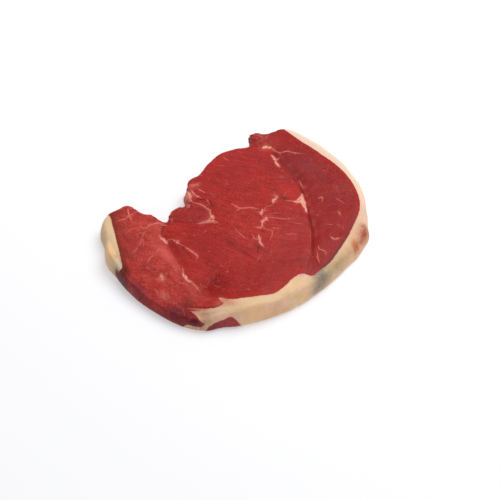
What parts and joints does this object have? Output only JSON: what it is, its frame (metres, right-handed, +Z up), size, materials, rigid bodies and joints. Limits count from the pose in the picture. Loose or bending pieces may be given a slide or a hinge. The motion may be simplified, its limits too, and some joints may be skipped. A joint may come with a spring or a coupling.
{
  "type": "raw sirloin steak",
  "caption": "Thick slice of raw sirloin lying flat: round eye, crescent cap and tail grown together, with a leaning rind of fat and a deep notch in its cut edge.",
  "frame": {"origin": "on the board under the middle of the steak's box", "axes": "+X along the steak's length, away from the tail; +Z up, across the thickness, out of the shown cut face"},
  "size_m": [0.2272, 0.1731, 0.0207],
  "materials": {
    "lean": "moist satin",
    "fat": "waxy satin"
  },
  "bodies": {
    "root": {"steak": "lean"}
  },
  "joints": []
}
